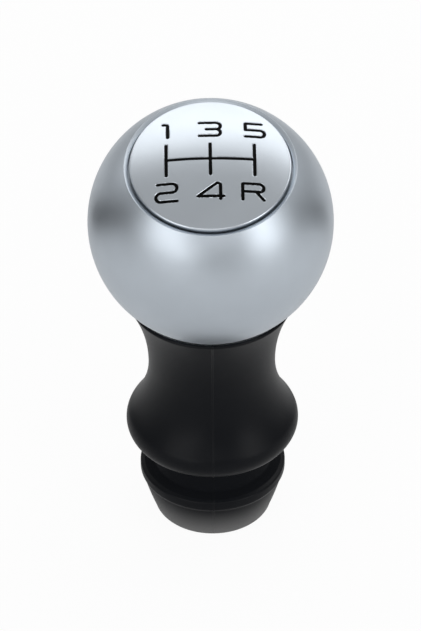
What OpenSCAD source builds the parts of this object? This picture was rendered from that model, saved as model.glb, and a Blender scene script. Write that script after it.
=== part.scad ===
// Gear shift knob: a satin aluminium ball with a domed, engraved plate let into
// its top, on a waisted black sleeve with a groove for the gaiter.
// The origin is the centre of the foot ring, +Z runs up the lever's axis, and -Y
// faces the driver. The plate leans towards the driver.

/* [Ball] */
// Diameter of the ball
ball_d = 50; // [46:0.5:56]
// Height of the ball's centre above the foot
ball_z = 74; // [70:0.5:84]
// Wall of the hollow ball
ball_wall = 2.5; // [1.8:0.1:3.2]
// Width of the chamfer around the mouth of the plate's recess
mouth_chamfer_w = 0.8; // [0.3:0.05:1]
// Depth of that chamfer
mouth_chamfer_h = 0.4; // [0.2:0.05:0.5]
// Thickness of the web under the plate
web_t = 2.4; // [1.8:0.1:3]
// Radius of the hub that seats on the core
hub_r = 9; // [8:0.25:10]
// Depth of the hub below the web
hub_h = 3.1; // [2.6:0.1:4]
// Radius of the well that takes the screw's head
well_r = 6.2; // [6:0.1:7]
// Thickness of the hub under that well
well_floor_t = 2.2; // [1.6:0.1:2.6]

/* [Shift plate] */
// Lean of the plate towards the driver, in degrees
plate_tilt = 16; // [8:0.5:22]
// Radius of the plate
plate_r = 16.2; // [15.6:0.05:17]
// Radius of curvature of its domed face
dome_r = 67; // [50:1:110]
// Height that its rim stands proud of the recess's mouth
rim_proud = 0.6; // [0:0.05:1]
// Thickness of its rim
rim_t = 1.6; // [1.3:0.05:2]
// Chamfer around its top edge
rim_chamfer = 0.4; // [0.1:0.05:0.45]
// Thickness of its domed skin inside the rim
skin_t = 1.5; // [1.2:0.05:1.8]
// Width of the flat land under its rim
land_w = 3.1; // [2:0.1:4]
// Gap around the plate in its recess
plate_gap = 0.3; // [0.1:0.05:0.5]
// Thickness of the adhesive pad under the land
pad_t = 0.6; // [0.4:0.05:1]
// Margin of the pad inside each edge of the land
pad_margin = 0.3; // [0.1:0.05:0.6]

/* [Shift pattern] */
// Width of every engraved stroke
stroke_w = 0.64; // [0.4:0.02:0.8]
// Depth of the engraving
engrave_depth = 0.4; // [0.2:0.05:0.6]
// Drop of the enamel below the plate's face
enamel_drop = 0.08; // [0.05:0.01:0.15]
// Distance between neighbouring gate lines
gate_pitch = 8.8; // [8:0.1:9]
// Length of a gate line, between its ends' centres
gate_len = 7.6; // [6:0.1:7.8]
// Distance from the cross line to the middle of each row of characters
row_pitch = 7.75; // [7.2:0.05:7.8]
// Shift of the pattern away from the driver
pattern_shift = 0.2; // [0:0.1:0.8]
// Width of a character, between its outer strokes' centres
glyph_w = 4.2; // [3.6:0.1:4.4]
// Height of a character, between its outer strokes' centres
glyph_h = 3.6; // [3:0.1:3.8]
// Height of the 2, between its outer strokes' centres
two_h = 4; // [3.6:0.1:4.2]
// Width of the 4, between the ends of its bar
four_w = 5.1; // [4.4:0.1:5.3]
// Width of the 5, between its outer strokes' centres
five_w = 3.8; // [3.4:0.1:4.2]
// Shift of the R towards the middle of the plate
reverse_shift = 0.4; // [0:0.1:0.6]
// Rounding of the corners of the 1, the 4 and the R
corner_r = 0.5; // [0.3:0.05:0.7]

/* [Grip sleeve] */
// Outer radius of the foot
foot_r = 12.5; // [12.2:0.1:13]
// Rounding of the foot's edge
foot_round = 1.1; // [0.2:0.05:1.2]
// Outer radius of the skirt just under the collar
skirt_top_r = 14.9; // [14.2:0.1:15]
// Swell of the skirt beyond a straight cone
skirt_swell = 0.05; // [0:0.05:0.4]
// Height of the collar's lower edge
collar_z = 8.9; // [8:0.1:9.4]
// Height of the collar
collar_h = 2.7; // [2:0.1:3]
// Outer radius of the collar
collar_r = 15.35; // [15.2:0.05:16]
// Rounding of the collar's upper edge
collar_round = 0.5; // [0.2:0.05:0.8]
// Rounding of the collar's lower edge
collar_low_round = 1; // [0.5:0.05:1.1]
// Rise of the ledge from the collar's rim to the groove's wall
ledge_rise = 1; // [0.2:0.1:1.4]
// Radius of the wall at the bottom of the gaiter groove
groove_r = 12.6; // [12.2:0.1:13]
// Rounding at the top of the groove's wall
groove_round = 0.8; // [0.4:0.1:1.2]
// Largest radius of the swelling above the groove
bulge_r = 18.1; // [17.4:0.1:19]
// Height of that largest radius
bulge_z = 23; // [22.4:0.1:24]
// Rounding of the swelling
bulge_round = 4; // [3.4:0.1:4.4]
// Radius of the neck
neck_r = 13.2; // [12.8:0.1:13.8]
// Height of the neck's narrowest place
neck_z = 38.2; // [36:0.2:40]
// Radius of the lip around the ball's seat
lip_r = 17.3; // [16.4:0.1:18]
// Rounding of that lip
lip_round = 0.4; // [0.3:0.05:0.7]
// Gap between the ball and its seat
seat_gap = 0.25; // [0.05:0.05:0.4]
// Height of the raised parting line left by the mould
parting_h = 0.1; // [0.06:0.01:0.16]
// Width of the parting line
parting_w = 0.4; // [0.3:0.05:0.6]
// Radius of the bore above the shoulder
sleeve_bore_r = 9.6; // [9.4:0.05:10]
// Radius of the counterbore in the foot
foot_bore_r = 10.9; // [10.7:0.05:11.1]
// Height of the shoulder that the core's flange seats against
shoulder_z = 6; // [5.6:0.1:6.6]

/* [Core] */
// Gap between the core and the sleeve
core_gap = 0.2; // [0.1:0.05:0.3]
// Thickness of the core's flange
flange_t = 3.4; // [3:0.1:3.6]
// Width of the key that stops the sleeve turning
key_w = 2.4; // [1.6:0.1:3]
// Height of that key
key_h = 0.9; // [0.6:0.05:1.2]
// Radius of the stem where the core is hollowed out
stem_r = 4.5; // [3.5:0.1:5.5]
// Thickness of the ribs there
rib_t = 2; // [1.4:0.1:2.6]
// Number of ribs
rib_count = 6; // [4:1:8]
// Solid stretch between the lever's socket and the hollows
socket_roof = 4; // [3:0.5:6]
// Depth of the solid head under its sloping top, on the axis
head_depth = 16; // [14:0.5:18]

/* [Lever bush] */
// Radius of the lever's bore
lever_r = 6; // [5.5:0.1:6.2]
// Length of the bush and its bore
bush_len = 40; // [36:0.5:42]
// Outer radius of the bush
bush_r = 7.9; // [7.8:0.05:8]
// Gap between the bush and the core's socket
bush_gap = 0.05; // [0.03:0.01:0.1]
// Thickness of the bush's flange
bush_flange_t = 1.8; // [1.4:0.1:2.2]
// Gap between the bush's flange and the foot's counterbore
bush_flange_gap = 0.3; // [0.2:0.05:0.5]
// Gap between the end of the bush and the end of its socket
socket_gap = 0.2; // [0.1:0.05:0.5]
// Width of the slots between the bush's fingers
slot_w = 1.2; // [0.8:0.1:1.6]
// Length of those slots
slot_len = 17; // [12:0.5:20]
// Number of fingers
finger_count = 4; // [3:1:6]
// Radial thickness of the spring clip around the fingers
clip_t = 0.6; // [0.4:0.05:0.7]
// Height of the clip
clip_h = 2.2; // [1.5:0.1:3]
// Distance from the clip's top to the tips of the fingers
clip_drop = 4; // [3:0.5:6]
// Gap between the clip and its groove's sides
clip_side_gap = 0.1; // [0.05:0.05:0.2]
// Opening of the clip
clip_opening = 3; // [2:0.5:5]

/* [Screw, washer and insert] */
// Radius of the screw's shank
screw_r = 2.5; // [2:0.25:3]
// Length of the shank
screw_len = 14; // [13:0.5:16]
// Radius of the screw's head
screw_head_r = 4.75; // [4.25:0.25:5]
// Height of the head
screw_head_h = 2.75; // [2.25:0.25:3]
// Width of the hexagon socket across its flats
hex_af = 3; // [2.5:0.5:4]
// Depth of the hexagon socket
hex_depth = 1.6; // [1.2:0.1:1.8]
// Outer radius of the washer
washer_r = 5.5; // [5.2:0.1:5.8]
// Thickness of the washer
washer_t = 1; // [0.8:0.1:1.4]
// Gap around the shank in the washer and the hub
shank_gap = 0.2; // [0.1:0.05:0.3]
// Gap around the shank in the threaded insert
thread_gap = 0.03; // [0.02:0.01:0.05]
// Outer radius of the threaded insert
insert_r = 3.7; // [3.6:0.05:4]
// Length of the insert
insert_len = 9.5; // [8:0.5:11]
// Drop of the insert below the core's top
insert_drop = 0.2; // [0.1:0.05:0.4]
// Free space beyond the screw's end
screw_end_gap = 1; // [0.5:0.1:2]

/* [Hidden] */

$fn = 96;
arc_steps = 12;
cap_steps = 8;
over = 1;

ball_r = ball_d/2;
cavity_r = ball_r - ball_wall;

// Heights along the plate's leaning axis, from the ball's centre
recess_r = plate_r + plate_gap;
mouth_r = recess_r + mouth_chamfer_w;
mouth_u = sqrt(ball_r*ball_r - mouth_r*mouth_r);
rim_u = mouth_u + rim_proud;
plate_base_u = rim_u - rim_t;
floor_u = plate_base_u - pad_t;
web_u = floor_u - web_t;
hub_u = web_u - hub_h;
well_u = hub_u + well_floor_t;
dome_u = rim_u - sqrt(dome_r*dome_r - pow(plate_r - rim_chamfer, 2));
head_u = well_u + washer_t;
shank_end_u = head_u - screw_len;
insert_top_u = hub_u - insert_drop;

// Heights along the lever's axis, from the foot
collar_top = collar_z + collar_h;
seat_r = ball_r + seat_gap;
flange_z = shoulder_z - flange_t;
bush_z = flange_z - bush_flange_t;
bush_top = bush_z + bush_len;
socket_top = bush_top + socket_gap;
core_r = sleeve_bore_r - core_gap;
flange_r = foot_bore_r - core_gap;
socket_r = bush_r + bush_gap;
hollow_z = socket_top + socket_roof;
head_z = ball_z + hub_u/cos(plate_tilt) - head_depth;
clip_z = bush_top - clip_drop - clip_h;

// Points along a round stretch, from one angle to another
function arc(centre, r, from, to) =
    [for (i = [0:arc_steps]) let (a = from + (to - from)*i/arc_steps) centre + r*[cos(a), sin(a)]];

// Points along a smooth curve with one control point
function bend_curve(p, q, s) =
    [for (i = [0:arc_steps]) let (t = i/arc_steps) (1 - t)*(1 - t)*p + 2*t*(1 - t)*q + t*t*s];

// Places children on the plate's leaning axis, at a height from the ball's centre
module on_plate(u = 0) {
    translate([0, 0, ball_z]) rotate([plate_tilt, 0, 0]) translate([0, 0, u]) children();
}

// The neck is one arc below its narrowest place, tangent to the swelling's
// rounding, and another above it, which runs out to the lip.
neck_rise = neck_z - bulge_z;
neck_in = bulge_r - neck_r;
neck_sum = (neck_rise*neck_rise + neck_in*neck_in)/(2*neck_in);
neck_low_r = neck_sum - bulge_round;
neck_angle = asin(neck_rise/neck_sum);
lip_z = ball_z - sqrt(seat_r*seat_r - lip_r*lip_r) - lip_round;
flare_rise = lip_z - neck_z;
flare_out = lip_r - neck_r;
flare_r = (flare_rise*flare_rise + flare_out*flare_out)/(2*flare_out);
flare_angle = asin(flare_rise/flare_r);
lip_centre = [lip_r, lip_z] - lip_round*[cos(flare_angle), -sin(flare_angle)];

// Outside of the sleeve, as radius and height, with a margin added all round
function sleeve_outline(m) = concat(
    arc([foot_r - foot_round, foot_round], foot_round + m, -90, 0),
    bend_curve([foot_r + m, foot_round], [(foot_r + skirt_top_r)/2 + 2*skirt_swell + m, collar_z/2],
        [skirt_top_r + m, collar_z]),
    arc([collar_r - collar_low_round, collar_z + collar_low_round], collar_low_round + m, -45, 0),
    arc([collar_r - collar_round, collar_top - collar_round], collar_round + m, 0, 70),
    [[groove_r + m, collar_top + ledge_rise + m]],
    arc([groove_r + groove_round, bulge_z - bulge_round - groove_round], groove_round - m, 180, 90),
    arc([bulge_r - bulge_round, bulge_z], bulge_round + m, -90, 0),
    arc([bulge_r - bulge_round, bulge_z], bulge_round + m, 0, neck_angle),
    arc([neck_r + neck_low_r, neck_z], neck_low_r - m, 180 + neck_angle, 180),
    arc([neck_r + flare_r, neck_z], flare_r - m, 180, 180 - flare_angle),
    arc(lip_centre, lip_round + m, -flare_angle, 80));

module grip_sleeve() {
    outline = sleeve_outline(0);
    lip_end = outline[len(outline) - 1];
    color([0.1, 0.1, 0.11])
    difference() {
        union() {
            rotate_extrude() polygon(concat([[0, 0]], outline, [[0, lip_end[1]]]));
            for (side = [-90, 90]) parting_line(side);
        }
        translate([0, 0, ball_z]) sphere(seat_r, $fn = 200);
        translate([0, 0, -over]) cylinder(h = ball_z, r = sleeve_bore_r);
        translate([0, 0, -over]) cylinder(h = shoulder_z + over, r = foot_bore_r);
        translate([0, -key_w/2 - core_gap, 0])
            cube([core_r + key_h + core_gap, key_w + 2*core_gap, hollow_z]);
    }
}

// A thin raised line where the halves of the mould met. It starts above the
// rounding of the foot, so that the foot stays flat.
module parting_line(side) {
    outline = sleeve_outline(parting_h);
    inner = sleeve_outline(-parting_h);
    out = [for (i = [arc_steps:len(outline) - 1]) outline[i]];
    back = [for (i = [len(inner) - 1:-1:arc_steps]) inner[i]];
    turn = parting_w/collar_r*180/PI;
    rotate([0, 0, side - turn/2]) rotate_extrude(angle = turn) polygon(concat(out, back));
}

module ball_shell() {
    color([0.72, 0.73, 0.75])
    difference() {
        translate([0, 0, ball_z]) sphere(ball_r, $fn = 200);
        difference() {
            translate([0, 0, ball_z]) sphere(cavity_r, $fn = 200);
            on_plate(web_u) translate([-ball_d, -ball_d, 0]) cube([2*ball_d, 2*ball_d, ball_d]);
            on_plate(hub_u) cylinder(h = hub_h + over, r = hub_r);
        }
        on_plate(floor_u) cylinder(h = ball_r, r = recess_r);
        on_plate() rotate_extrude() polygon([
            [0, mouth_u - mouth_chamfer_h],
            [recess_r, mouth_u - mouth_chamfer_h],
            [mouth_r, mouth_u],
            [mouth_r, ball_d],
            [0, ball_d]]);
        on_plate(well_u) cylinder(h = ball_r, r = well_r);
        on_plate(hub_u - over) cylinder(h = ball_r, r = screw_r + shank_gap);
        cylinder(h = ball_z - cavity_r/2, r = core_r + core_gap);
    }
}

module shift_plate() {
    color([0.82, 0.83, 0.85])
    on_plate()
    difference() {
        intersection() {
            translate([0, 0, dome_u]) sphere(dome_r, $fn = 360);
            rotate_extrude() polygon([
                [0, plate_base_u],
                [plate_r, plate_base_u],
                [plate_r, rim_u - rim_chamfer],
                [plate_r - rim_chamfer, rim_u],
                [plate_r - rim_chamfer, ball_d],
                [0, ball_d]]);
        }
        intersection() {
            translate([0, 0, dome_u]) sphere(dome_r - skin_t, $fn = 360);
            translate([0, 0, plate_base_u - over]) cylinder(h = ball_r, r = plate_r - land_w);
        }
        difference() {
            translate([0, 0, plate_base_u]) linear_extrude(ball_r) pattern();
            translate([0, 0, dome_u]) sphere(dome_r - engrave_depth, $fn = 360);
        }
    }
}

module pattern_enamel() {
    color([0.03, 0.03, 0.03])
    on_plate()
    difference() {
        intersection() {
            translate([0, 0, plate_base_u]) linear_extrude(ball_r) pattern();
            translate([0, 0, dome_u]) sphere(dome_r - enamel_drop, $fn = 360);
        }
        translate([0, 0, dome_u]) sphere(dome_r - engrave_depth, $fn = 360);
    }
}

// Unit vector that points to the left of a run from one point to the next
function left_of(p, q) = [p[1] - q[1], q[0] - p[0]]/norm(q - p);

// Shift from a point of a path to its left side, mitred where the path turns
function side_shift(path, i) =
    let (before = left_of(path[max(i - 1, 0)], path[max(i, 1)]),
        after = left_of(path[min(i, len(path) - 2)], path[min(i + 1, len(path) - 1)]))
    (before + after)*stroke_w/2/(1 + before*after);

// Round end of a stroke: half a turn about a point, from one side to the other
function cap(p, side) =
    [for (i = [1:cap_steps - 1]) let (a = -180*i/cap_steps)
        p + [side[0]*cos(a) - side[1]*sin(a), side[0]*sin(a) + side[1]*cos(a)]];

// One stroke along a path, with round ends
module stroke(path) {
    last = len(path) - 1;
    polygon(concat(
        [for (i = [0:last]) path[i] + side_shift(path, i)],
        cap(path[last], side_shift(path, last)),
        [for (i = [last:-1:0]) path[i] - side_shift(path, i)],
        cap(path[0], -side_shift(path, 0))));
}

// Right-hand bowl of a character, from its top to its foot
function bowl(top, foot, r_shift = 0) =
    let (r = (top - foot)/2) arc([glyph_w/2 - r, foot + r], r + r_shift, 90, -90);

glyph_top = glyph_h/2;
glyph_side = glyph_w/2;

module one() {
    stem = glyph_w/12;
    stroke(concat([[-glyph_w/8, glyph_top]], arc([stem, glyph_top] - corner_r*[1, 1], corner_r, 90, 0),
        [[stem, -glyph_top]]));
}

module two() {
    top = two_h/2;
    r = top/2;
    stroke(concat([[stroke_w/2 - glyph_side, top]], bowl(top, 0),
        arc([r - glyph_side, -r], r, 90, 270), [[glyph_side, -top]]));
}

// The outline runs round the bowls, which meet in a notch on the right
module three() {
    r = glyph_h/4;
    half = stroke_w/2;
    notch = asin(r/(r + half));
    ends = [-glyph_side, -glyph_w/6];
    polygon(concat(
        arc([glyph_side - r, r], r + half, 90, -notch),
        arc([glyph_side - r, -r], r + half, notch, -90),
        [[ends[0], -glyph_top - half]], cap([ends[0], -glyph_top], [0, -half]),
        arc([glyph_side - r, -r], r - half, -90, 90),
        [[ends[1], -half]], cap([ends[1], 0], [0, -half]), [[ends[1], half]],
        arc([glyph_side - r, r], r - half, -90, 90),
        [[ends[0], glyph_top - half]], cap([ends[0], glyph_top], [0, -half]),
        [[ends[0], glyph_top + half]]));
}

module four() {
    stem = four_w/2 - stroke_w;
    bar = -glyph_h/3;
    stroke([[-four_w/2, bar], [four_w/2, bar]]);
    slope = atan2(glyph_top - bar, stem + four_w/2);
    stroke(concat([[stroke_w/3 - four_w/2, bar + stroke_w/4]],
        arc([stem, glyph_top] - corner_r*[1, 1], corner_r, 90 + slope, 0), [[stem, -glyph_top]]));
}

module five() {
    left = glyph_side - five_w;
    stroke(concat([[glyph_side - stroke_w, glyph_top], [left, glyph_top], [left, 0]],
        bowl(0, -glyph_top), [[left, -glyph_top]]));
}

module reverse() {
    half = stroke_w/2;
    leg = -glyph_side;
    difference() {
        polygon(concat(
            [[leg - half, -glyph_top]],
            arc([leg - half + corner_r, glyph_top + half - corner_r], corner_r, 180, 90),
            bowl(glyph_top, 0, half),
            [[leg + half, -half], [leg + half, -glyph_top]],
            cap([leg, -glyph_top], [half, 0])));
        polygon(concat([[leg + half, half], [leg + half, glyph_top - half]], bowl(glyph_top, 0, -half)));
    }
    stroke([[glyph_side/3, -stroke_w/4], [glyph_side, -glyph_top]]);
}

// The gates and the characters, on the plate's plane
module pattern() {
    translate([0, pattern_shift]) {
        for (gate = [-1:1]) stroke([[gate*gate_pitch, -gate_len/2], [gate*gate_pitch, gate_len/2]]);
        square([2*gate_pitch, stroke_w], center = true);
        translate([-gate_pitch, row_pitch]) one();
        translate([0, row_pitch]) three();
        translate([gate_pitch, row_pitch]) five();
        translate([-gate_pitch, -row_pitch]) two();
        translate([0, -row_pitch]) four();
        translate([gate_pitch - reverse_shift, -row_pitch]) reverse();
    }
}

module plate_pad() {
    color([0.2, 0.2, 0.2])
    on_plate(floor_u)
    difference() {
        cylinder(h = pad_t, r = plate_r - pad_margin);
        translate([0, 0, -over]) cylinder(h = pad_t + 2*over, r = plate_r - land_w + pad_margin);
    }
}

module core_post() {
    color([0.85, 0.84, 0.8])
    difference() {
        union() {
            translate([0, 0, flange_z]) cylinder(h = ball_z + ball_r - flange_z, r = core_r);
            translate([0, 0, flange_z]) cylinder(h = flange_t, r = flange_r);
            translate([0, -key_w/2, shoulder_z - over])
                cube([core_r + key_h, key_w, hollow_z - core_gap - shoulder_z + over]);
        }
        on_plate(hub_u) translate([-ball_d, -ball_d, 0]) cube(2*ball_d);
        translate([0, 0, flange_z - over]) cylinder(h = socket_top - flange_z + over, r = socket_r);
        core_hollows();
        on_plate(insert_top_u - insert_len) cylinder(h = ball_r, r = insert_r);
        on_plate(shank_end_u - screw_end_gap) cylinder(h = ball_r, r = screw_r + shank_gap);
    }
}

// Hollows that leave a stem and ribs between the socket and the head
module core_hollows() {
    difference() {
        translate([0, 0, hollow_z]) cylinder(h = head_z - hollow_z, r = core_r + key_h + over);
        cylinder(h = ball_z, r = stem_r);
        for (i = [0:rib_count - 1])
            rotate([0, 0, i*360/rib_count]) translate([0, -rib_t/2, 0]) cube([core_r + over, rib_t, ball_z]);
    }
}

module lever_bush() {
    color([0.78, 0.78, 0.76])
    difference() {
        union() {
            translate([0, 0, bush_z]) cylinder(h = bush_len, r = bush_r);
            translate([0, 0, bush_z]) cylinder(h = bush_flange_t, r = foot_bore_r - bush_flange_gap);
        }
        translate([0, 0, bush_z - over]) cylinder(h = bush_len + 2*over, r = lever_r);
        translate([0, 0, clip_z - clip_side_gap]) clip_ring(clip_h + 2*clip_side_gap, bush_r + over);
        for (i = [0:finger_count - 1])
            rotate([0, 0, (i + 0.5)*360/finger_count])
                translate([0, -slot_w/2, bush_top - slot_len])
                    cube([bush_r + over, slot_w, slot_len + over]);
    }
}

// A ring from the bottom of the clip's groove out to a radius
module clip_ring(height, outer_r) {
    difference() {
        cylinder(h = height, r = outer_r);
        translate([0, 0, -over]) cylinder(h = height + 2*over, r = bush_r - clip_t);
    }
}

module bush_clip() {
    color([0.6, 0.6, 0.62])
    translate([0, 0, clip_z])
    difference() {
        clip_ring(clip_h, bush_r);
        translate([0, -clip_opening/2, -over]) cube([bush_r + over, clip_opening, clip_h + 2*over]);
    }
}

module ball_screw() {
    color([0.35, 0.35, 0.37])
    on_plate()
    difference() {
        union() {
            translate([0, 0, head_u]) cylinder(h = screw_head_h, r = screw_head_r);
            translate([0, 0, shank_end_u]) cylinder(h = screw_len + over, r = screw_r);
        }
        translate([0, 0, head_u + screw_head_h - hex_depth])
            cylinder(h = hex_depth + over, r = hex_af/2/cos(30), $fn = 6);
    }
}

module ball_washer() {
    color([0.65, 0.65, 0.67])
    on_plate(well_u)
    difference() {
        cylinder(h = washer_t, r = washer_r);
        translate([0, 0, -over]) cylinder(h = washer_t + 2*over, r = screw_r + shank_gap);
    }
}

module threaded_insert() {
    color([0.8, 0.65, 0.3])
    on_plate(insert_top_u - insert_len)
    difference() {
        cylinder(h = insert_len, r = insert_r);
        translate([0, 0, -over]) cylinder(h = insert_len + 2*over, r = screw_r + thread_gap);
    }
}

grip_sleeve();
ball_shell();
shift_plate();
pattern_enamel();
plate_pad();
core_post();
lever_bush();
bush_clip();
ball_screw();
ball_washer();
threaded_insert();
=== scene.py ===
"""Gear shift knob: the visible surfaces and the finish of every piece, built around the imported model.

Lengths in the settings are in metres, +Z runs up the lever's axis and -Y faces the driver.
"""
import math

import bpy
import numpy as np
from bpy.props import FloatProperty, FloatVectorProperty, IntProperty, PointerProperty
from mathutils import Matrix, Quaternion, Vector


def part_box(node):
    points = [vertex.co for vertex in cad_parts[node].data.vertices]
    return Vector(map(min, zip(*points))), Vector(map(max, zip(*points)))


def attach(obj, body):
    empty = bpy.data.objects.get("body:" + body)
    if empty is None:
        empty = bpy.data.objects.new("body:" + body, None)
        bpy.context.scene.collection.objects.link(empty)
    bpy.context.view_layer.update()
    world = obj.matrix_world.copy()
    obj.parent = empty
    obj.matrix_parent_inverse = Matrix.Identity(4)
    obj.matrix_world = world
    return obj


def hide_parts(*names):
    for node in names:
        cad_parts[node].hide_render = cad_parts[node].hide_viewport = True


bl_info = {
    "name": "Gear Shift Knob",
    "version": (1, 0, 0),
    "blender": (4, 5, 0),
    "location": "View3D > Sidebar > Shift Knob",
    "description": "Builds a ball-topped gear shift knob with an engraved pattern plate",
    "category": "Object",
}

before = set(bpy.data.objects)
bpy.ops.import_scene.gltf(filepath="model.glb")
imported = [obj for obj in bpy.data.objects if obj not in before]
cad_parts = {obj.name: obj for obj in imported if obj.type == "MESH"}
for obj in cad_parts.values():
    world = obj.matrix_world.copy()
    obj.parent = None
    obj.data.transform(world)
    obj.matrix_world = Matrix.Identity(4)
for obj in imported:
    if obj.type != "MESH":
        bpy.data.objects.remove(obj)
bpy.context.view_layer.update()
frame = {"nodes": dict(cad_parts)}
ball_low, ball_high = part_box("ball_shell")

MM = 0.001
BODY = "root"
PHOTO_SIZE = (421, 631)
SENSOR = 36.0

# Faces that meet at more than this angle, in degrees, have a sharp edge between them
SHARP_ANGLE = 35
# Points round the sleeve and round the ball
SLEEVE_STEPS = 240
BALL_STEPS = 256
# Finer points across each parting line, and how far they reach to each side in degrees
PARTING_STEPS = 33
PARTING_REACH = 1.6
# A hair's breadth, for the end of a cut and for the margin of a comparison
HAIR = 0.01 * MM

# The point between ball and sleeve that every lamp faces, and the lamps' distance from it
AIM = Vector((0, 0, 0.06))
LAMP_DISTANCE = 0.6
# Each soft box: name, azimuth and elevation in degrees, width and height in metres, watts
LAMPS = (
    ("left_soft_box", -43, 24, 0.36, 0.46, 0.85),
    ("left_low_light", -22, 8, 0.2, 0.14, 0.13),
    ("front_light", 5, 28, 0.25, 0.25, 0.12),
    ("right_soft_box", 50, 22, 0.26, 0.46, 0.83),
    ("right_side_light", 68, 15, 0.18, 0.36, 0.1),
    ("front_top_light", 0, 54, 0.34, 0.2, 0.3),
    ("top_light", 0, 86, 0.5, 0.3, 0.04),
    ("left_back_light", -122, 22, 0.26, 0.2, 0.1),
    ("right_back_light", 120, 40, 0.3, 0.3, 0.45),
    ("back_soft_box", 180, 52, 0.62, 0.26, 0.75),
    ("back_low_light", 180, 28, 0.6, 0.2, 0.45))
# Each dark card: name, colour, and for both of its upright ends the azimuth and the two heights in metres
CARD_DISTANCE = 0.16
CARDS = (
    ("left_flag", "#2A2A2A", (-72, 0.105, 0.149), (-134, -0.025, 0.019)),
    ("right_flag", "#626262", (78, 0.095, 0.137), (124, -0.006, 0.036)))
# Half the floor's width in metres, and the points along one side of it
FLOOR_HALF = 3.0
FLOOR_POINTS = 9


def length(name, description, millimetres):
    """A length that the panel shows, with its default given in millimetres."""
    return FloatProperty(name=name, description=description, default=millimetres * MM, min=0.0, precision=5,
                         unit="LENGTH", subtype="DISTANCE")


def colour(name, description, hex_value):
    """A colour that the panel shows, with its default given as an sRGB hex value."""
    return FloatVectorProperty(name=name, description=description, default=linear(hex_value)[:3], size=3,
                               min=0.0, max=1.0, subtype="COLOR")


def linear(hex_value):
    """Turns an sRGB hex value into linear red, green, blue and alpha."""
    channels = [int(hex_value[i:i + 2], 16) / 255 for i in (1, 3, 5)]
    return tuple(c / 12.92 if c <= 0.04045 else ((c + 0.055) / 1.055) ** 2.4 for c in channels) + (1.0,)


class KnobBall(bpy.types.PropertyGroup):
    """Sizes of the hollow ball and of the recess in its top."""

    radius: FloatProperty(name="Ball radius", description="Outer radius of the ball, as the frame has it",
                          default=ball_high.y, min=0.0, precision=5, unit="LENGTH", subtype="DISTANCE")
    centre_z: length("Ball height", "Height of the ball's centre above the foot", 74)
    wall: length("Wall", "Wall of the hollow ball", 2.5)
    tilt: FloatProperty(name="Lean", description="Lean of the plate towards the driver",
                        default=math.radians(16), subtype="ANGLE", unit="ROTATION")
    chamfer_w: length("Mouth chamfer width", "Width of the chamfer around the recess", 0.8)
    chamfer_h: length("Mouth chamfer depth", "Depth of that chamfer", 0.4)
    edge_round: length("Edge rounding", "Rounding left on the mouth's edges by the blasting", 0.06)
    web_t: length("Web", "Thickness of the web under the plate", 2.4)
    hub_r: length("Hub radius", "Radius of the hub that seats on the core", 9)
    hub_h: length("Hub depth", "Depth of the hub below the web", 3.1)
    well_r: length("Well radius", "Radius of the well that takes the screw's head", 6.2)
    well_floor: length("Well floor", "Thickness of the hub under the well", 2.2)
    hole_r: length("Screw hole radius", "Radius of the screw's hole in the hub", 2.7)
    foot_hole_r: length("Lower hole radius", "Radius of the hole that the core passes through", 9.6)


class KnobPlate(bpy.types.PropertyGroup):
    """Sizes of the domed plate and of its engraved shift pattern."""

    radius: length("Plate radius", "Radius of the plate", 16.2)
    gap: length("Plate gap", "Gap around the plate in its recess", 0.3)
    dome_r: length("Dome radius", "Radius of curvature of the domed face", 67)
    proud: length("Rim height", "Height of the rim above the mouth of the recess", 0.6)
    rim_t: length("Rim thickness", "Thickness of the rim", 1.6)
    rim_round: length("Rim rounding", "Rounding of the plate's top edge", 0.4)
    skin_t: length("Skin thickness", "Thickness of the domed skin inside the rim", 1.5)
    land_w: length("Land width", "Width of the flat land under the rim", 3.1)
    pad_t: length("Pad thickness", "Thickness of the adhesive pad under the land", 0.6)
    stroke_w: length("Stroke width", "Width of every engraved stroke", 0.64)
    depth: length("Engraving depth", "Depth of the engraving", 0.4)
    wall_w: length("Engraving wall", "Width over which an engraved wall slopes down", 0.2)
    enamel_drop: length("Enamel drop", "Drop of the enamel below the plate's face", 0.08)
    gate_pitch: length("Gate pitch", "Distance between neighbouring gate lines", 8.8)
    gate_len: length("Gate length", "Length of a gate line between its ends' centres", 7.6)
    row_pitch: length("Row pitch", "Distance from the cross line to a row of characters", 7.75)
    shift: length("Pattern shift", "Shift of the pattern away from the driver", 0.2)
    glyph_w: length("Character width", "Width of a character between its outer strokes", 4.2)
    glyph_h: length("Character height", "Height of a character between its outer strokes", 3.6)
    two_h: length("Height of the 2", "Height of the 2 between its outer strokes", 4)
    four_w: length("Width of the 4", "Width of the 4 between the ends of its bar", 5.1)
    five_w: length("Width of the 5", "Width of the 5 between its outer strokes", 3.8)
    reverse_shift: length("Shift of the R", "Shift of the R towards the middle of the plate", 0.4)
    corner_r: length("Corner rounding", "Rounding of the corners of the 1 and the 4", 0.5)
    base_round: length("Base rounding", "Rounding of the rim's lower edge", 0.08)
    grid_steps: IntProperty(name="Grid steps", description="Steps across the face's grid",
                            default=268, min=40)


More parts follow.
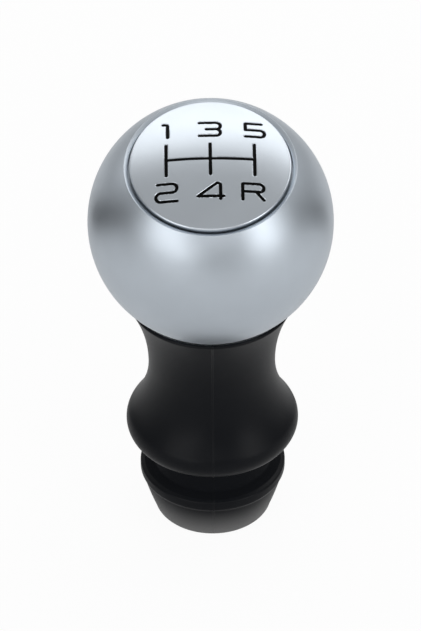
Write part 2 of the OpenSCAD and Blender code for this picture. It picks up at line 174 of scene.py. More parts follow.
class KnobSleeve(bpy.types.PropertyGroup):
    """Sizes of the black grip sleeve, from its foot to the lip under the ball."""

    foot_r: length("Foot radius", "Outer radius of the foot", 12.5)
    foot_round: length("Foot rounding", "Rounding of the foot's edge", 1.1)
    skirt_r: length("Skirt radius", "Outer radius of the skirt under the collar", 14.9)
    skirt_swell: length("Skirt swell", "Swell of the skirt beyond a straight cone", 0.05)
    collar_z: length("Collar height", "Height of the collar's lower edge", 8.9)
    collar_h: length("Collar thickness", "Height of the collar itself", 2.7)
    collar_r: length("Collar radius", "Outer radius of the collar", 15.35)
    collar_round: length("Collar upper rounding", "Rounding of the collar's upper edge", 0.5)
    collar_low: length("Collar lower rounding", "Rounding of the collar's lower edge", 1)
    ledge_rise: length("Ledge rise", "Rise of the ledge from the rim to the groove's wall", 1)
    groove_r: length("Groove radius", "Radius of the wall at the bottom of the gaiter groove", 12.6)
    groove_round: length("Groove rounding", "Rounding at the top of the groove's wall", 0.8)
    corner_round: length("Corner rounding", "Small rounding between the ledge and the wall", 0.3)
    bulge_r: length("Swelling radius", "Largest radius of the swelling", 18.1)
    bulge_z: length("Swelling height", "Height of that largest radius", 23)
    bulge_round: length("Swelling rounding", "Rounding of the swelling", 4)
    neck_r: length("Neck radius", "Radius of the neck", 13.2)
    neck_z: length("Neck height", "Height of the neck's narrowest place", 38.2)
    flare_r: length("Flare radius", "Radius of the arc that runs out from the neck to the lip", 36)
    lip_round: length("Lip rounding", "Rounding of the lip around the ball", 0.4)
    seat_gap: length("Seat gap", "Gap between the ball and its seat", 0.25)
    parting_h: length("Parting line height", "Height of the raised line where the mould closed", 0.1)
    parting_w: length("Parting line width", "Width of that line", 0.4)
    bore_r: length("Bore radius", "Radius of the bore above the shoulder", 9.6)
    foot_bore_r: length("Counterbore radius", "Radius of the counterbore in the foot", 10.9)
    shoulder_z: length("Shoulder height", "Height of the shoulder in the bore", 6)
    keyway_w: length("Keyway width", "Width of the keyway in the bore", 2.8)
    keyway_r: length("Keyway radius", "Radius that the keyway reaches to", 10.5)
    keyway_top: length("Keyway height", "Height of the keyway's upper end", 45)
    edge_round: length("Inner edge rounding", "Rounding of the foot's inner edge", 0.15)


class KnobColours(bpy.types.PropertyGroup):
    """Colours of the finishes."""

    ball: colour("Ball", "Satin aluminium of the ball", "#BFC7CF")
    plate: colour("Plate", "Aluminium of the plate", "#C4CBD2")
    sleeve: colour("Sleeve", "Black moulding of the sleeve", "#0A0C10")
    # Painted sheen: the grey that the sleeve is painted at its foot, standing for light from the floor
    skirt: colour("Skirt", "Scuffed black of the skirt at its foot", "#7A7A7A")
    enamel: colour("Enamel", "Black fill of the engraving", "#040404")


class KnobStage(bpy.types.PropertyGroup):
    """The camera's place."""

    azimuth: FloatProperty(name="Azimuth", description="Turn of the camera round the knob",
                           default=math.radians(-0.4), subtype="ANGLE", unit="ROTATION")
    elevation: FloatProperty(name="Elevation", description="Height of the camera as an angle",
                             default=math.radians(38.3), subtype="ANGLE", unit="ROTATION")
    roll: FloatProperty(name="Roll", description="Turn of the camera about its line of sight",
                        default=math.radians(-0.5), subtype="ANGLE", unit="ROTATION")
    distance: length("Distance", "Distance of the camera from its target", 800)
    target_x: FloatProperty(name="Target offset", description="Offset of that target from the lever's axis",
                            default=-0.2 * MM, precision=5, unit="LENGTH", subtype="DISTANCE")
    target_z: length("Target height", "Height of the point that the camera looks at", 49.65)
    focal_pixels: FloatProperty(name="Focal length", description="Focal length in pixels of the photograph",
                                default=3869.0, min=100.0)


def arc(centre, radius, start, end, steps=14):
    """Centre plus radius times (cos a, sin a), with a going evenly from start to end, in degrees."""
    angle = np.radians(np.linspace(start, end, steps))
    return np.column_stack([centre[0] + radius * np.cos(angle), centre[1] + radius * np.sin(angle)])


def bend(start, control, end, steps=14):
    """Quadratic curve: (1 - t)^2 start + 2 t (1 - t) control + t^2 end, with t from 0 to 1."""
    t = np.linspace(0, 1, steps)[:, None]
    return (1 - t) ** 2 * np.array(start) + 2 * t * (1 - t) * np.array(control) + t ** 2 * np.array(end)


def corner(before, point, after, size, steps=5):
    """Small quadratic curve that rounds a corner, starting and ending a given size away from it."""
    point = np.array(point)
    ways = [np.array(other) - point for other in (before, after)]
    start, end = [point + size * way / np.linalg.norm(way) for way in ways]
    return bend(start, point, end, steps)


def grid_faces(rows, columns, close_rows=False, close_columns=True):
    """Quads between neighbouring rows and columns of a grid of points, closed on itself where asked."""
    i = np.arange(rows if close_rows else rows - 1)[:, None]
    j = np.arange(columns if close_columns else columns - 1)[None, :]
    down, right = (i + 1) % rows, (j + 1) % columns
    quads = np.stack([i * columns + j, i * columns + right,
                      down * columns + right, down * columns + j], axis=-1)
    return quads.reshape(-1, 4)


def add_piece(name, points, faces):
    """Makes a smooth mesh object from an array of points and lists of faces."""
    mesh = bpy.data.meshes.new(name)
    mesh.from_pydata(points.reshape(-1, 3), [], [face for group in faces for face in group.tolist()])
    mesh.validate()
    mesh.shade_smooth()
    mesh.set_sharp_from_angle(angle=math.radians(SHARP_ANGLE))
    piece = bpy.data.objects.new(name, mesh)
    bpy.context.scene.collection.objects.link(piece)
    return piece


def dress(piece, material, slot_name, *nodes):
    """Gives a piece its material, lets it ride on the body and stand for its CAD nodes."""
    piece.data.materials.clear()
    piece.data.materials.append(material)
    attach(piece, BODY)
    if nodes:
        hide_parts(*nodes)


def add_node(tree, kind, inputs=None, **settings):
    """Adds a node, sets its properties, and fills its inputs with values or with other nodes' outputs."""
    node = tree.nodes.new(kind)
    for name, value in settings.items():
        setattr(node, name, value)
    for name, value in (inputs or {}).items():
        if isinstance(value, bpy.types.NodeSocket):
            tree.links.new(value, node.inputs[name])
        else:
            node.inputs[name].default_value = value
    return node


def new_material(name):
    """An empty node material and its tree."""
    material = bpy.data.materials.new(name)
    material.use_nodes = True
    material.node_tree.nodes.clear()
    return material, material.node_tree


def finish_material(tree, shader):
    """Joins a shader to the material's output."""
    add_node(tree, "ShaderNodeOutputMaterial", {"Surface": shader.outputs[0]})


def per_metre(millimetres):
    """Scale of a noise whose grains are that many millimetres across."""
    return 1 / (millimetres * MM)


def grain(tree, millimetres, detail=2.0, roughness=0.5):
    """Noise on Object coordinates with grains of a real size in millimetres."""
    place = add_node(tree, "ShaderNodeTexCoord")
    return add_node(tree, "ShaderNodeTexNoise",
                    {"Vector": place.outputs["Object"], "Scale": per_metre(millimetres), "Detail": detail,
                     "Roughness": roughness})


def spread(tree, value, low, high):
    """Spreads a noise from its usual range of 0.3 to 0.7 over low to high."""
    return add_node(tree, "ShaderNodeMapRange",
                    {"Value": value, "From Min": 0.3, "From Max": 0.7, "To Min": low, "To Max": high})


def shaded(tree, value, dark, light):
    """Mixes two linear colours by a value from 0 to 1."""
    return add_node(tree, "ShaderNodeMix",
                    {"Factor": value, "A": tuple(dark)[:3] + (1.0,), "B": tuple(light)[:3] + (1.0,)},
                    data_type="RGBA")


def grained_metal(name, base, roughness, grain_mm, bump_mm):
    """A metal whose fine even pits, left by blasting, plating or a tool, blur every reflection.

    The real pits are a few hundredths of a millimetre across, and are drawn coarser so that they show.
    """
    material, tree = new_material(name)
    pits = grain(tree, grain_mm)
    clouds = grain(tree, 9.0)
    tone = shaded(tree, spread(tree, clouds.outputs["Fac"], 0.0, 1.0).outputs[0],
                  [c * 0.97 for c in base], [min(c * 1.02, 1.0) for c in base])
    bump = add_node(tree, "ShaderNodeBump",
                    {"Height": pits.outputs["Fac"], "Distance": bump_mm * MM, "Strength": 0.6})
    rough = spread(tree, pits.outputs["Fac"], roughness - 0.02, roughness + 0.02)
    shader = add_node(tree, "ShaderNodeBsdfPrincipled",
                      {"Base Color": tone.outputs["Result"], "Metallic": 1.0,
                       "Roughness": rough.outputs[0], "Normal": bump.outputs["Normal"]})
    finish_material(tree, shader)
    return material


def grained_polymer(name, base, roughness, grain_mm, bump_mm):
    """A moulded or foamed polymer: an even tone with faint flow clouds and a fine skin texture."""
    material, tree = new_material(name)
    skin = grain(tree, grain_mm, detail=3.0)
    flow = grain(tree, 14.0)
    tone = shaded(tree, spread(tree, flow.outputs["Fac"], 0.0, 1.0).outputs[0],
                  [c * 0.9 for c in base], [c * 1.1 for c in base])
    bump = add_node(tree, "ShaderNodeBump",
                    {"Height": skin.outputs["Fac"], "Distance": bump_mm * MM, "Strength": 0.5})
    rough = spread(tree, skin.outputs["Fac"], roughness - 0.03, roughness + 0.03)
    shader = add_node(tree, "ShaderNodeBsdfPrincipled",
                      {"Base Color": tone.outputs["Result"], "Roughness": rough.outputs[0],
                       "Normal": bump.outputs["Normal"]})
    finish_material(tree, shader)
    return material


def coated_moulding(name, base, skirt, skirt_top, groove):
    """Black moulding with a soft-touch coat that absorbs most light.

    Below the collar it is painted lighter towards the foot: a painted sheen of light from the floor.
    Hands have smoothed the coat, but not in the groove, which stays rough between its two heights.
    """
    material, tree = new_material(name)
    place = add_node(tree, "ShaderNodeTexCoord")
    height = add_node(tree, "ShaderNodeSeparateXYZ", {"Vector": place.outputs["Object"]}).outputs["Z"]
    # Painted sheen: the base colour is painted from black at the collar to a lighter grey at the foot, for
    # light from the floor
    down = add_node(tree, "ShaderNodeMapRange", {"Value": height, "From Min": skirt_top, "From Max": 0.0})
    painted_floor_sheen = add_node(tree, "ShaderNodeMath", {0: down.outputs[0], 1: 1.35}, operation="POWER")
    tone = shaded(tree, painted_floor_sheen.outputs[0], base, skirt)
    skin = grain(tree, 0.25, detail=3.0)
    smoothed = spread(tree, skin.outputs["Fac"], 0.34, 0.4)
    above = add_node(tree, "ShaderNodeMapRange",
                     {"Value": height, "From Min": groove[1] - 2.5 * MM, "From Max": groove[1] + 0.5 * MM,
                      "To Min": 0.9, "To Max": smoothed.outputs[0]})
    on_collar = add_node(tree, "ShaderNodeMath", {0: height, 1: groove[0] + 0.2 * MM}, operation="LESS_THAN")
    rough = add_node(tree, "ShaderNodeMix",
                     {"Factor": on_collar.outputs[0], "A": above.outputs[0], "B": smoothed.outputs[0]})
    bump = add_node(tree, "ShaderNodeBump",
                    {"Height": skin.outputs["Fac"], "Distance": 0.004 * MM, "Strength": 0.5})
    shader = add_node(tree, "ShaderNodeBsdfPrincipled",
                      {"Base Color": tone.outputs["Result"], "Specular IOR Level": 0.11,
                       "Roughness": rough.outputs["Result"], "Normal": bump.outputs["Normal"]})
    finish_material(tree, shader)
    return material


def black_enamel(name, base):
    """Stoving enamel wiped into the engraving: deep black with a slightly uneven skin and little sheen."""
    material, tree = new_material(name)
    skin = grain(tree, 0.8)
    uneven = spread(tree, skin.outputs["Fac"], 0.0, 1.0)
    tone = shaded(tree, uneven.outputs[0], base, [c * 1.5 for c in base])
    bump = add_node(tree, "ShaderNodeBump", {"Height": skin.outputs["Fac"], "Distance": 0.004 * MM})
    shader = add_node(tree, "ShaderNodeBsdfPrincipled",
                      {"Base Color": tone.outputs["Result"], "Roughness": 0.4, "Specular IOR Level": 0.04,
                       "Normal": bump.outputs["Normal"]})
    finish_material(tree, shader)
    return material


class KNOB_OT_sleeve(bpy.types.Operator):
    """Builds the black sleeve: one profile carried round the lever's axis, with two parting lines"""

    bl_idname = "knob.sleeve"
    bl_label = "Grip sleeve"

    def execute(self, context):
        s = context.scene.knob_sleeve
        ball = context.scene.knob_ball
        outside = sleeve_outside(s, ball)
        inside = sleeve_inside(s, ball)
        profile = np.vstack([outside, inside])
        along = np.gradient(profile, axis=0)
        along[len(outside) - 1] = outside[-1] - outside[-2]
        normal = np.column_stack([along[:, 1], -along[:, 0]]) / np.linalg.norm(along, axis=1)[:, None]
        even = np.linspace(-180, 180, SLEEVE_STEPS, endpoint=False)
        fine = np.linspace(-PARTING_REACH, PARTING_REACH, PARTING_STEPS)
        keyway = math.degrees(math.asin(s.keyway_w / 2 / s.bore_r))
        # Each wall of the keyway stands between two angles that lie close together
        sides = np.array([-keyway - 0.02, -keyway, keyway, keyway + 0.02])
        angle = np.radians(np.unique(np.concatenate([even, fine - 90, fine + 90, sides]).round(4)))
        radius = profile[:, :1] + 0 * angle
        height = profile[:, 1:] + 0 * angle
        # The parting line is a low rounded ridge of constant width, on the outside above the foot's rounding
        from_line = (np.abs(angle) - math.pi / 2) * profile[:, :1]
        ridge = s.parting_h * np.clip(1 - (from_line / (s.parting_w / 2)) ** 2, 0, 1)
        on_outside = (np.arange(len(profile)) < len(outside)) & (profile[:, 1] > s.foot_round * 1.2)
        ridge = ridge * on_outside[:, None]
        radius = radius + ridge * normal[:, :1]
        height = height + ridge * normal[:, 1:]
        # The keyway widens the bore from the shoulder to its upper end
        in_key = np.abs(np.degrees(angle)) <= keyway + 0.001
        in_bore = (np.arange(len(profile)) > len(outside)) & (profile[:, 1] < s.keyway_top)
        in_bore &= (profile[:, 1] >= s.shoulder_z) & (profile[:, 0] <= s.bore_r + HAIR)
        widened = in_bore[:, None] & in_key[None, :]
        radius = np.where(widened, s.keyway_r / np.cos(angle), radius)
        points = np.stack([radius * np.cos(angle), radius * np.sin(angle), height], axis=-1)
        faces = grid_faces(len(profile), len(angle), close_rows=True)
        sleeve = add_piece("sleeve_moulding", points, [faces])
        colours = context.scene.knob_colours
        groove = (s.collar_z + s.collar_h, s.bulge_z - s.bulge_round)
        # The skirt colour is a painted sheen of light from the floor, painted lighter towards the sleeve's
        # foot
        material = coated_moulding("soft_touch_moulding", colours.sleeve, colours.skirt, s.collar_z, groove)
        dress(sleeve, material, "black_moulding", "grip_sleeve")
        # The sleeve is kept out of reflections, so that the ball stays evenly bright down to its seat
        sleeve.visible_glossy = False
        return {"FINISHED"}


def lip_centre(s, ball):
    """Centre of the round lip, which touches both the flare and the seat: two circles cross there."""
    flare = np.array([s.neck_r + s.flare_r, s.neck_z])
    centre = np.array([0.0, ball.centre_z])
    flare_reach = s.flare_r + s.lip_round
    seat_reach = ball.radius + s.seat_gap + s.lip_round
    apart = np.linalg.norm(centre - flare)
    along = (flare_reach ** 2 - seat_reach ** 2 + apart ** 2) / (2 * apart)
    aside = math.sqrt(flare_reach ** 2 - along ** 2)
    way = (centre - flare) / apart
    return flare + along * way + aside * np.array([-way[1], way[0]])


def angle_of(start, end):
    """Direction from one point to another, in degrees."""
    return math.degrees(math.atan2(end[1] - start[1], end[0] - start[0]))


def sleeve_outside(s, ball):
    """Outside of the sleeve as radius and height, from the foot to the lip: arcs joined by short lines."""
    top = s.collar_z + s.collar_h
    rise, inset = s.bulge_z - s.neck_z, s.bulge_r - s.neck_r
    reach = (rise * rise + inset * inset) / (2 * inset)
    neck_angle = math.degrees(math.asin(-rise / reach))
    flare = (s.neck_r + s.flare_r, s.neck_z)
    lip = lip_centre(s, ball)
    bulge = (s.bulge_r - s.bulge_round, s.bulge_z)
    upper = arc((s.collar_r - s.collar_round, top - s.collar_round), s.collar_round, 0, 70, 9)
    wall_foot = (s.groove_r, top + s.ledge_rise)
    wall_top = (s.groove_r, s.bulge_z - s.bulge_round - s.groove_round)
    neck = (s.neck_r + reach - s.bulge_round, s.neck_z)
    return np.vstack([
        arc((s.foot_r - s.foot_round, s.foot_round), s.foot_round, -90, 0, 9),
        bend((s.foot_r, s.foot_round), ((s.foot_r + s.skirt_r) / 2 + 2 * s.skirt_swell, s.collar_z / 2),
             (s.skirt_r, s.collar_z), 24)[1:],
        arc((s.collar_r - s.collar_low, s.collar_z + s.collar_low), s.collar_low, -45, 0, 10),
        upper,
        corner(upper[-1], wall_foot, wall_top, s.corner_round),
        arc((s.groove_r + s.groove_round, wall_top[1]), s.groove_round, 180, 90, 9),
        arc(bulge, s.bulge_round, -90, neck_angle, 40),
        arc(neck, reach - s.bulge_round, 180 + neck_angle, 180, 26)[1:],
        arc(flare, s.flare_r, 180, angle_of(flare, lip), 30)[1:],
        arc(lip, s.lip_round, angle_of(lip, flare), angle_of(lip, (0, ball.centre_z)), 12)[1:]])


def sleeve_inside(s, ball):
    """Inside of the sleeve: down the seat and the bore, out over the shoulder, down to the foot."""
    centre = (0.0, ball.centre_z)
    seat_r = ball.radius + s.seat_gap
    bore_angle = math.degrees(math.asin(s.bore_r / seat_r)) - 90
    key = np.array([[s.bore_r, s.keyway_top], [s.bore_r, s.keyway_top - HAIR], [s.bore_r, s.shoulder_z]])
    foot = np.array([[s.foot_bore_r, s.shoulder_z]])
    edge = corner((s.foot_bore_r, s.shoulder_z), (s.foot_bore_r, 0.0), (s.foot_r, 0.0), s.edge_round)
    return np.vstack([
        arc(centre, seat_r, angle_of(centre, lip_centre(s, ball)), bore_angle, 16)[1:],
        key, foot, edge])


def ball_frame(ball):
    """The leaning axis as three unit vectors: across, away from the driver, and up along the lean."""
    c, s = math.cos(ball.tilt), math.sin(ball.tilt)
    return np.array([[1, 0, 0], [0, c, s], [0, -s, c]])


def plate_levels(ball, plate):
    """Heights along the leaning axis from the ball's centre, and the radii that belong to them."""
    recess_r = plate.radius + plate.gap
    mouth_r = recess_r + ball.chamfer_w
    mouth_u = math.sqrt(ball.radius ** 2 - mouth_r ** 2)
    rim_u = mouth_u + plate.proud
    base_u = rim_u - plate.rim_t
    dome_u = rim_u - math.sqrt(plate.dome_r ** 2 - (plate.radius - plate.rim_round) ** 2)
    return {"recess_r": recess_r, "mouth_r": mouth_r, "mouth_u": mouth_u, "rim_u": rim_u, "base_u": base_u,
            "floor_u": base_u - plate.pad_t, "dome_u": dome_u}


def ring(radius, height, angle, axes, centre):
    """Circles round an axis: centre + r cos a x + r sin a y + u z, a row for each radius r and height u."""
    radius = np.asarray(radius, float)[:, None, None]
    height = np.asarray(height, float)[:, None, None]
    turn = angle[None, :, None]
    return centre + radius * np.cos(turn) * axes[0] + radius * np.sin(turn) * axes[1] + height * axes[2]


def band(start, end, centre, steps):
    """Rows that slide over a sphere along great circles, from the points of one ring to another's."""
    a, b = start - centre, end - centre
    reach = np.linalg.norm(a, axis=-1, keepdims=True)
    between = np.arccos(np.clip(np.sum(a * b, axis=-1, keepdims=True) / reach ** 2, -1, 1))
    t = np.linspace(0, 1, steps)[:, None, None]
    return centre + (np.sin((1 - t) * between) * a + np.sin(t * between) * b) / np.sin(between)


class KNOB_OT_ball(bpy.types.Operator):
    """Builds the hollow ball: rings that lean from the lever's axis over to the plate's axis"""

    bl_idname = "knob.ball"
    bl_label = "Ball"

    def execute(self, context):
        ball = context.scene.knob_ball
        plate = context.scene.knob_plate
        level = plate_levels(ball, plate)
        axes, upright = ball_frame(ball), np.eye(3)
        centre = np.array([0.0, 0.0, ball.centre_z])
        angle = np.linspace(0, 2 * math.pi, BALL_STEPS, endpoint=False)
        inner = ball.radius - ball.wall
        web_u = level["floor_u"] - ball.web_t
        hub_u = web_u - ball.hub_h
        well_u = hub_u + ball.well_floor
        hole = [ring([ball.foot_hole_r], [-math.sqrt(r * r - ball.foot_hole_r ** 2)], angle, upright, centre)
                for r in (ball.radius, inner)]
        mouth_edge = (level["mouth_r"], level["mouth_u"])
        chamfer_foot = (level["recess_r"], level["mouth_u"] - ball.chamfer_h)
        floor_edge = (level["recess_r"], level["floor_u"])
        # A point on the ball's tangent there, so that the mouth's rounding starts along the ball
        tangent_point = (mouth_edge[0] + level["mouth_u"], mouth_edge[1] - level["mouth_r"])
        mouth = np.vstack([
            corner(tangent_point, mouth_edge, chamfer_foot, ball.edge_round),
            corner(mouth_edge, chamfer_foot, floor_edge, ball.edge_round),
            [floor_edge, (ball.well_r, level["floor_u"]), (ball.well_r, well_u), (ball.hole_r, well_u),
             (ball.hole_r, hub_u), (ball.hub_r, hub_u), (ball.hub_r, web_u),
             (math.sqrt(inner ** 2 - web_u ** 2), web_u)]])
        top = ring(mouth[:, 0], mouth[:, 1], angle, axes, centre)
        outward = top[:1] - centre
        start = centre + outward * ball.radius / np.linalg.norm(outward, axis=-1, keepdims=True)
        outside = band(hole[0], start, centre, 120)
        inside = band(top[-1:], hole[1], centre, 40)
        points = np.concatenate([outside, top, inside[1:]])
        shell = add_piece("ball", points, [grid_faces(len(points), len(angle), close_rows=True)])
        # Aluminium, bead blasted and clear anodised: an even satin in which lamps become soft clouds
        material = grained_metal("blasted_anodised_aluminium", context.scene.knob_colours.ball,
                                 0.4, 0.12, 0.0015)
        dress(shell, material, "satin_aluminium", "ball_shell")
        return {"FINISHED"}


def pattern_paths(p):
    """Centre lines of every engraved stroke on the plate, in metres, each as a list of points.

    A character's key is its column from -1 to 1 and its row, 1 above the cross line and -1 below it.
    """
    top, side, corner_r = p.glyph_h / 2, p.glyph_w / 2, p.corner_r
    half = p.stroke_w / 2
    r = top / 2
    stem = p.glyph_w / 12
    upper_bowl = arc((side - r, r), r, 90, -90)
    lower_bowl = arc((side - r, -r), r, 90, -90)
    two_r = p.two_h / 4
    two_bowl = arc((side - two_r, two_r), two_r, 90, -90)
    five_left = side - p.five_w
    r_round = corner_r - half
    four_stem = p.four_w / 2 - p.stroke_w
    bar = -p.glyph_h / 3
    slope = math.degrees(math.atan2(top - bar, four_stem + p.four_w / 2))
    glyphs = {
        (-1, 1): [[(-p.glyph_w / 8, top), *arc((stem - corner_r, top - corner_r), corner_r, 90, 0),
                   (stem, -top)]],
        (0, 1): [[(-side, top), *upper_bowl, (-p.glyph_w / 6, 0)],
                 [(-p.glyph_w / 6, 0), *lower_bowl, (-side, -top)]],
        (1, 1): [[(side - p.stroke_w, top), (five_left, top), (five_left, 0), *lower_bowl,
                  (five_left, -top)]],
        (-1, -1): [[(half - side, p.two_h / 2), *two_bowl, *arc((two_r - side, -two_r), two_r, 90, 270),
                    (side, -p.two_h / 2)]],
        (0, -1): [[(-p.four_w / 2, bar), (p.four_w / 2, bar)],
                  [(p.stroke_w / 3 - p.four_w / 2, bar + p.stroke_w / 4),
                   *arc((four_stem - corner_r, top - corner_r), corner_r, 90 + slope, 0),
                   (four_stem, -top)]],
        (1, -1): [[(-side, -top), *arc((r_round - side, top - r_round), r_round, 180, 90, 5),
                   *upper_bowl, (-side, 0)],
                  [(side / 3, -p.stroke_w / 4), (side, -top)]]}
    moved = {(1, -1): -p.reverse_shift}
    gate_end = p.gate_len / 2
    paths = [np.array([(g * p.gate_pitch, -gate_end), (g * p.gate_pitch, gate_end)]) for g in (-1, 0, 1)]
    paths.append(np.array([(-p.gate_pitch, 0.0), (p.gate_pitch, 0.0)]))
    for (column, row), strokes in glyphs.items():
        place = (column * p.gate_pitch + moved.get((column, row), 0.0), row * p.row_pitch)
        paths += [np.array(stroke) + place for stroke in strokes]
    return [path + (0.0, p.shift) for path in paths]


def distance_to(paths, x, y):
    """Shortest distance from each point to the paths, taken segment by segment."""
    nearest = np.full(x.shape, np.inf)
    for path in paths:
        for (ax, ay), (bx, by) in zip(path[:-1], path[1:]):
            dx, dy = bx - ax, by - ay
            t = np.clip(((x - ax) * dx + (y - ay) * dy) / max(dx * dx + dy * dy, 1e-18), 0, 1)
            nearest = np.minimum(nearest, np.hypot(x - ax - t * dx, y - ay - t * dy))
    return nearest


def disc_grid(steps, radius):
    """A square grid mapped onto a disc, ring by ring, so that squares of the grid become circles."""
    a, b = np.meshgrid(np.linspace(-1, 1, steps + 1), np.linspace(-1, 1, steps + 1))
    wide = np.abs(a) >= np.abs(b)
    long = np.where(wide, a, b)
    short = np.where(wide, b, a)
    turn = math.pi / 4 * np.divide(short, long, out=np.zeros_like(a), where=long != 0)
    x = radius * long * np.where(wide, np.cos(turn), np.sin(turn))
    y = radius * long * np.where(wide, np.sin(turn), np.cos(turn))
    return x, y


def edge_loop(steps):
    """Indices of the grid's outermost points, once round counterclockwise."""
    width = steps + 1
    k = np.arange(steps)
    return np.concatenate([k, k * width + steps, steps * width + steps - k, (steps - k) * width])


class KNOB_OT_plate(bpy.types.Operator):
    """Builds the domed plate: a disc grid lifted to the dome, cut along the strokes and closed below"""

    bl_idname = "knob.plate"
    bl_label = "Shift plate"

    def execute(self, context):
        ball = context.scene.knob_ball
        p = context.scene.knob_plate
        level = plate_levels(ball, p)
        axes = ball_frame(ball)
        centre = np.array([0.0, 0.0, ball.centre_z])
        face_r = p.radius - p.rim_round
        x, y = disc_grid(p.grid_steps, face_r)
        from_edge = p.stroke_w / 2 - distance_to(pattern_paths(p), x, y)
        # The wall slopes so that it passes the enamel's level just at the stroke's edge
        sunk = p.depth * np.clip(from_edge / p.wall_w + p.enamel_drop / p.depth, 0, 1)
        u = level["dome_u"] + np.sqrt(p.dome_r ** 2 - x ** 2 - y ** 2) - sunk
        face = centre + x[..., None] * axes[0] + y[..., None] * axes[1] + u[..., None] * axes[2]
        loop = edge_loop(p.grid_steps)
        angle = np.arctan2(y.ravel()[loop], x.ravel()[loop])
        rim = arc((face_r, level["rim_u"] - p.rim_round), p.rim_round, 80, 0, 6)
        land_r = p.radius - p.land_w
        under_r = p.dome_r - p.skin_t
        hollow_r = np.linspace(land_r, land_r / 8, 8)
        hollow_u = level["dome_u"] + np.sqrt(under_r ** 2 - hollow_r ** 2)
        low = corner((p.radius, level["rim_u"]), (p.radius, level["base_u"]),
                     (land_r, level["base_u"]), p.base_round)
        skirt = np.vstack([rim, low, [(land_r, level["base_u"])], np.column_stack([hollow_r, hollow_u])])
        rings = ring(skirt[:, 0], skirt[:, 1], angle, axes, centre)
        pole = centre + (level["dome_u"] + under_r) * axes[2]
        points = np.vstack([face.reshape(-1, 3), rings.reshape(-1, 3), pole])
        width = p.grid_steps + 1
        first = width * width
        count = len(loop)
        own = np.arange(count)
        after = (own + 1) % count
        join = np.column_stack([loop, first + own, first + after, loop[after]])
        last = first + (len(skirt) - 1) * count
        cap = np.column_stack([last + own, np.full(count, len(points) - 1), last + after])
        sides = grid_faces(len(skirt), count)[:, ::-1] + first
        plate = add_piece("engraved_plate", points,
                          [grid_faces(width, width, close_columns=False), join, sides, cap])
        # Aluminium, satin finished and clear anodised: brighter than the ball, with sharper reflections
        material = grained_metal("satin_plate_aluminium", context.scene.knob_colours.plate,
                                 0.3, 0.12, 0.0015)
        dress(plate, material, "plate_aluminium", "shift_plate")
        return {"FINISHED"}


class KNOB_OT_enamel(bpy.types.Operator):
    """Finishes the black fill of the engraving, which keeps the frame's own solids"""

    bl_idname = "knob.enamel"
    bl_label = "Pattern enamel"

    def execute(self, context):
        fill = frame["nodes"]["pattern_enamel"]
        material = black_enamel("black_stoving_enamel", context.scene.knob_colours.enamel)
        fill.data.materials.clear()
        fill.data.materials.append(material)
        return {"FINISHED"}


class KNOB_OT_inner(bpy.types.Operator):
    """Finishes the inner pieces, which keep the frame's own solids"""

    bl_idname = "knob.inner"
    bl_label = "Inner pieces"

    def execute(self, context):
        nodes = frame["nodes"]
        finishes = {
            # Adhesive tape of closed-cell foam: dead matt, with coarse cells
            "plate_pad": grained_polymer("closed_cell_foam", linear("#1E1E20")[:3], 0.85, 0.3, 0.03),
            # Glass-filled nylon, moulded: dark, with a skin that the fibres roughen
            "core_post": grained_polymer("glass_filled_nylon", linear("#2A2B2D")[:3], 0.55, 0.4, 0.006),
            # Natural nylon, moulded: milky and half satin
            "lever_bush": grained_polymer("natural_nylon", linear("#CFCBBE")[:3], 0.4, 0.5, 0.004),
            # Spring steel, rolled: grey with a soft sheen
            "bush_clip": grained_metal("rolled_spring_steel", linear("#A5A7AA")[:3], 0.3, 0.1, 0.001),
            # Steel, zinc plated: lighter and brighter
            "ball_screw": grained_metal("zinc_plated_steel", linear("#B9BCC0")[:3], 0.28, 0.1, 0.001),
            # Brass, turned: warm yellow with fine tool marks
            "threaded_insert": grained_metal("turned_brass", linear("#D3A550")[:3], 0.25, 0.1, 0.001)}
        finishes["ball_washer"] = finishes["ball_screw"]
        for name, material in finishes.items():
            nodes[name].data.materials.clear()
            nodes[name].data.materials.append(material)
        return {"FINISHED"}


def towards(azimuth, elevation):
    """Unit vector to a place seen from the knob: azimuth 0 is the driver's side, 90 the right-hand side."""
    a, e = math.radians(azimuth), math.radians(elevation)
    return Vector((math.sin(a) * math.cos(e), -math.cos(a) * math.cos(e), math.sin(e)))


def add_lamp(name, azimuth, elevation, width, height, watts):
    """A soft box that faces the knob."""
    light = bpy.data.lights.new(name, "AREA")
    light.shape = "RECTANGLE"
    light.size, light.size_y = width, height
    light.energy = watts
    lamp = bpy.data.objects.new(name, light)
    way = towards(azimuth, elevation)
    lamp.location = AIM + LAMP_DISTANCE * way
    lamp.rotation_mode = "QUATERNION"
    lamp.rotation_quaternion = way.to_track_quat("Z", "Y")
    bpy.context.scene.collection.objects.link(lamp)


class KNOB_OT_stage(bpy.types.Operator):
    """Sets the camera at the photograph's viewing angle, the pale floor and the studio lamps"""

    bl_idname = "knob.stage"
    bl_label = "Stage"

    def execute(self, context):
        scene = context.scene
        stage = scene.knob_stage
        camera = bpy.data.objects.new("camera", bpy.data.cameras.new("camera"))
        way = towards(math.degrees(stage.azimuth), math.degrees(stage.elevation))
        camera.location = Vector((stage.target_x, 0, stage.target_z)) + stage.distance * way
        camera.rotation_mode = "QUATERNION"
        camera.rotation_quaternion = way.to_track_quat("Z", "Y") @ Quaternion((0, 0, 1), stage.roll)
        camera.data.sensor_width = SENSOR
        camera.data.lens = stage.focal_pixels * SENSOR / max(PHOTO_SIZE)
        camera.data.clip_start, camera.data.clip_end = 0.05, 20
        scene.collection.objects.link(camera)
        scene.camera = camera
        add_floor()
        add_world(scene)
        for lamp in LAMPS:
            add_lamp(*lamp)
        for card in CARDS:
            add_flag(*card)
        scene.view_settings.view_transform = "Standard"
        return {"FINISHED"}


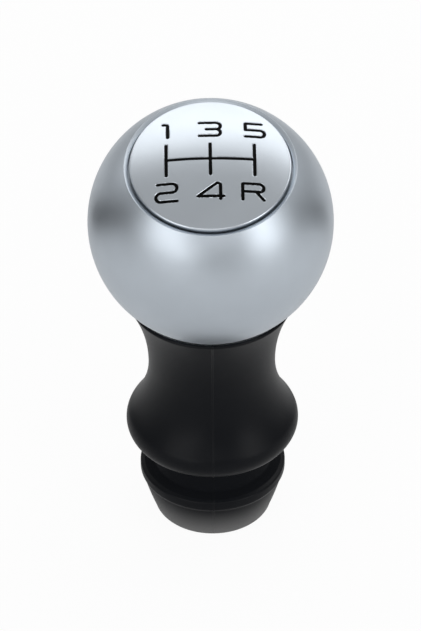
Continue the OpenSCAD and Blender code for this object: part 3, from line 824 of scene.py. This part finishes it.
def add_flag(name, hex_value, *ends):
    """A dark card beside the knob, seen in reflections alone.

    Each end is an upright edge, given by its azimuth and the two heights that it runs between.
    """
    corners = np.array([CARD_DISTANCE * towards(azimuth, 0) + Vector((0, 0, height))
                        for azimuth, *heights in ends for height in heights])
    flag = add_piece(name, corners, [grid_faces(2, 2, close_columns=False)])
    material, tree = new_material(name)
    finish_material(tree, add_node(tree, "ShaderNodeBsdfDiffuse", {"Color": linear(hex_value)}))
    flag.data.materials.append(material)
    flag.visible_camera = flag.visible_diffuse = flag.visible_shadow = False


def add_floor():
    """A pale floor: a diffuse white that keeps the knob's shadow, mixed with white where it is seen."""
    side = np.linspace(-FLOOR_HALF, FLOOR_HALF, FLOOR_POINTS)
    x, y = np.meshgrid(side, side)
    floor = add_piece("floor", np.stack([x, y, 0 * x], axis=-1),
                      [grid_faces(FLOOR_POINTS, FLOOR_POINTS, close_columns=False)])
    material, tree = new_material("white_floor")
    path = add_node(tree, "ShaderNodeLightPath")
    share = add_node(tree, "ShaderNodeMath", {0: path.outputs["Is Camera Ray"], 1: 0.94},
                     operation="MULTIPLY")
    matt = add_node(tree, "ShaderNodeBsdfDiffuse", {"Color": linear("#E6E6E6")})
    plain = add_node(tree, "ShaderNodeEmission", {"Color": (1, 1, 1, 1), "Strength": 1.0})
    above = add_node(tree, "ShaderNodeMixShader",
                     {0: share.outputs[0], 1: matt.outputs[0], 2: plain.outputs[0]})
    # Seen from below, the floor gives way to the background, and to the light that reaches the foot
    side_of = add_node(tree, "ShaderNodeNewGeometry")
    gone = add_node(tree, "ShaderNodeMath",
                    {0: side_of.outputs["Backfacing"], 1: path.outputs["Transparent Depth"]},
                    operation="MAXIMUM")
    clear = add_node(tree, "ShaderNodeBsdfTransparent")
    both = add_node(tree, "ShaderNodeMixShader",
                    {0: gone.outputs[0], 1: above.outputs[0], 2: clear.outputs[0]})
    finish_material(tree, both)
    floor.data.materials.append(material)


def add_world(scene):
    """A pale studio: white where it is seen directly, and a weaker even fill for everything else."""
    world = bpy.data.worlds.new("studio")
    world.use_nodes = True
    tree = world.node_tree
    tree.nodes.clear()
    path = add_node(tree, "ShaderNodeLightPath")
    fill = add_node(tree, "ShaderNodeBackground", {"Color": (1, 1, 1, 1), "Strength": 0.45})
    white = add_node(tree, "ShaderNodeBackground", {"Color": (1, 1, 1, 1), "Strength": 1.0})
    mixed = add_node(tree, "ShaderNodeMixShader",
                     {0: path.outputs["Is Camera Ray"], 1: fill.outputs[0], 2: white.outputs[0]})
    add_node(tree, "ShaderNodeOutputWorld", {"Surface": mixed.outputs[0]})
    scene.world = world


class KNOB_PT_panel(bpy.types.Panel):
    """Lists the steps that build the knob"""

    bl_label = "Gear Shift Knob"
    bl_idname = "KNOB_PT_panel"
    bl_space_type = "VIEW_3D"
    bl_region_type = "UI"
    bl_category = "Shift Knob"

    def draw(self, context):
        for operator in OPERATORS:
            self.layout.operator(operator.bl_idname)
        for name, kind in SETTINGS.items():
            box = self.layout.box()
            for setting in kind.__annotations__:
                box.prop(getattr(context.scene, name), setting)


OPERATORS = (KNOB_OT_sleeve, KNOB_OT_ball, KNOB_OT_plate, KNOB_OT_enamel, KNOB_OT_inner, KNOB_OT_stage)
SETTINGS = {"knob_ball": KnobBall, "knob_plate": KnobPlate, "knob_sleeve": KnobSleeve,
            "knob_colours": KnobColours, "knob_stage": KnobStage}


def register():
    """Registers every class and gives the scene its groups of settings."""
    for kind in (*SETTINGS.values(), *OPERATORS, KNOB_PT_panel):
        bpy.utils.register_class(kind)
    for name, kind in SETTINGS.items():
        setattr(bpy.types.Scene, name, PointerProperty(type=kind))


def unregister():
    """Takes the settings and the classes away again."""
    for name in SETTINGS:
        delattr(bpy.types.Scene, name)
    for kind in reversed((*SETTINGS.values(), *OPERATORS, KNOB_PT_panel)):
        bpy.utils.unregister_class(kind)


def main():
    """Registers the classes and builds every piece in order."""
    register()
    bpy.ops.knob.sleeve()
    bpy.ops.knob.ball()
    bpy.ops.knob.plate()
    bpy.ops.knob.enamel()
    bpy.ops.knob.inner()
    bpy.ops.knob.stage()
    bpy.context.view_layer.update()


if __name__ == "__main__":
    main()
